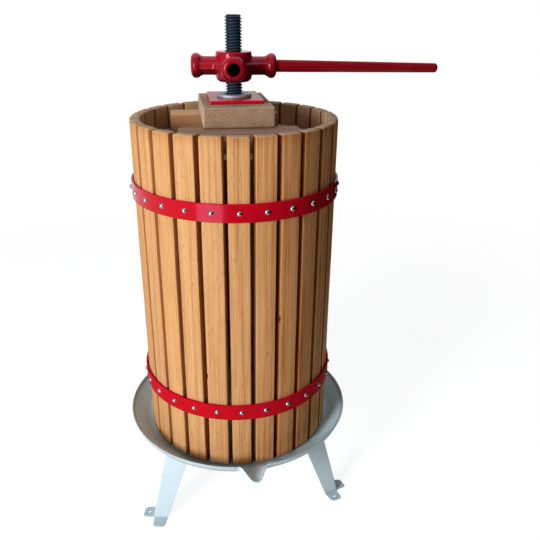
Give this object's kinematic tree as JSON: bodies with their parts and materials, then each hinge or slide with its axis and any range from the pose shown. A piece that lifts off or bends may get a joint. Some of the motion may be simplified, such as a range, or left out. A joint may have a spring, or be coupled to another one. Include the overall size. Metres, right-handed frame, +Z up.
{
  "type": "fruit press",
  "caption": "Standing basket press for fruit: slatted wooden basket in a spouted juice tray on three legs, with a screw spindle, socketed nut, lever and pressing blocks.",
  "frame": {"origin": "on the spindle axis at floor level, the centre of the circle through the three foot holes", "axes": "+Z up along the spindle, -Y towards the pouring spout, +X to the right of the spout"},
  "size_m": [0.4758, 0.4076, 0.7925],
  "materials": {
    "beech": "oiled",
    "block_timber": "planed",
    "red_paint": "gloss",
    "deep_red_paint": "gloss",
    "grey_enamel": "satin",
    "pale_paint": "satin",
    "black_steel": "oiled",
    "zinc": "bright zinc"
  },
  "bodies": {
    "base": {"juice_tray": "grey_enamel", "leg_front_left": "pale_paint", "leg_front_right": "pale_paint", "leg_rear": "pale_paint", "leg_bolts": "zinc", "leg_nuts": "zinc", "spindle": "black_steel", "spindle_backing_plate": "pale_paint", "spindle_washer": "zinc", "spindle_nut_lower": "zinc", "spindle_nut_upper": "zinc"},
    "basket": {"stave_01": "beech", "stave_02": "beech", "stave_03": "beech", "stave_04": "beech", "stave_05": "beech", "stave_06": "beech", "stave_07": "beech", "stave_08": "beech", "stave_09": "beech", "stave_10": "beech", "stave_11": "beech", "stave_12": "beech", "stave_13": "beech", "stave_14": "beech", "stave_15": "beech", "stave_16": "beech", "stave_17": "beech", "stave_18": "beech", "stave_19": "beech", "stave_20": "beech", "stave_21": "beech", "stave_22": "beech", "stave_23": "beech", "stave_24": "beech", "stave_25": "beech", "stave_26": "beech", "hoop_upper": "red_paint", "hoop_lower": "red_paint", "hoop_rivets_upper": "zinc", "hoop_rivets_lower": "zinc"},
    "press_stack": {"press_board_left": "block_timber", "press_board_right": "block_timber", "cross_bar_front": "block_timber", "cross_bar_rear": "block_timber", "top_block": "block_timber", "pressure_plate": "red_paint", "thrust_washer": "zinc"},
    "nut": {"press_nut": "deep_red_paint"},
    "lever": {"lever": "deep_red_paint"}
  },
  "joints": [
    {"name": "basket_turn", "type": "hinge", "parent": "base", "child": "basket", "pos_m": [0, 0, 0.14], "axis": [0, 0, 1], "continuous": true},
    {"name": "press_travel", "type": "slide", "parent": "base", "child": "press_stack", "axis": [0, 0, 1], "range_m": [-0.0551, 0.0451]},
    {"name": "nut_turn", "type": "hinge", "parent": "press_stack", "child": "nut", "pos_m": [0, 0, 0.7255], "axis": [0, 0, 1], "range_deg": [-4950, 4050]},
    {"name": "lever_pull", "type": "slide", "parent": "nut", "child": "lever", "axis": [0.9888, -0.1495, 0], "range_m": [0, 0.06]}
  ],
  "couplings": [
    {"joint": "press_travel", "follows": "nut_turn", "m_per_rad": 0.00063662}
  ]
}
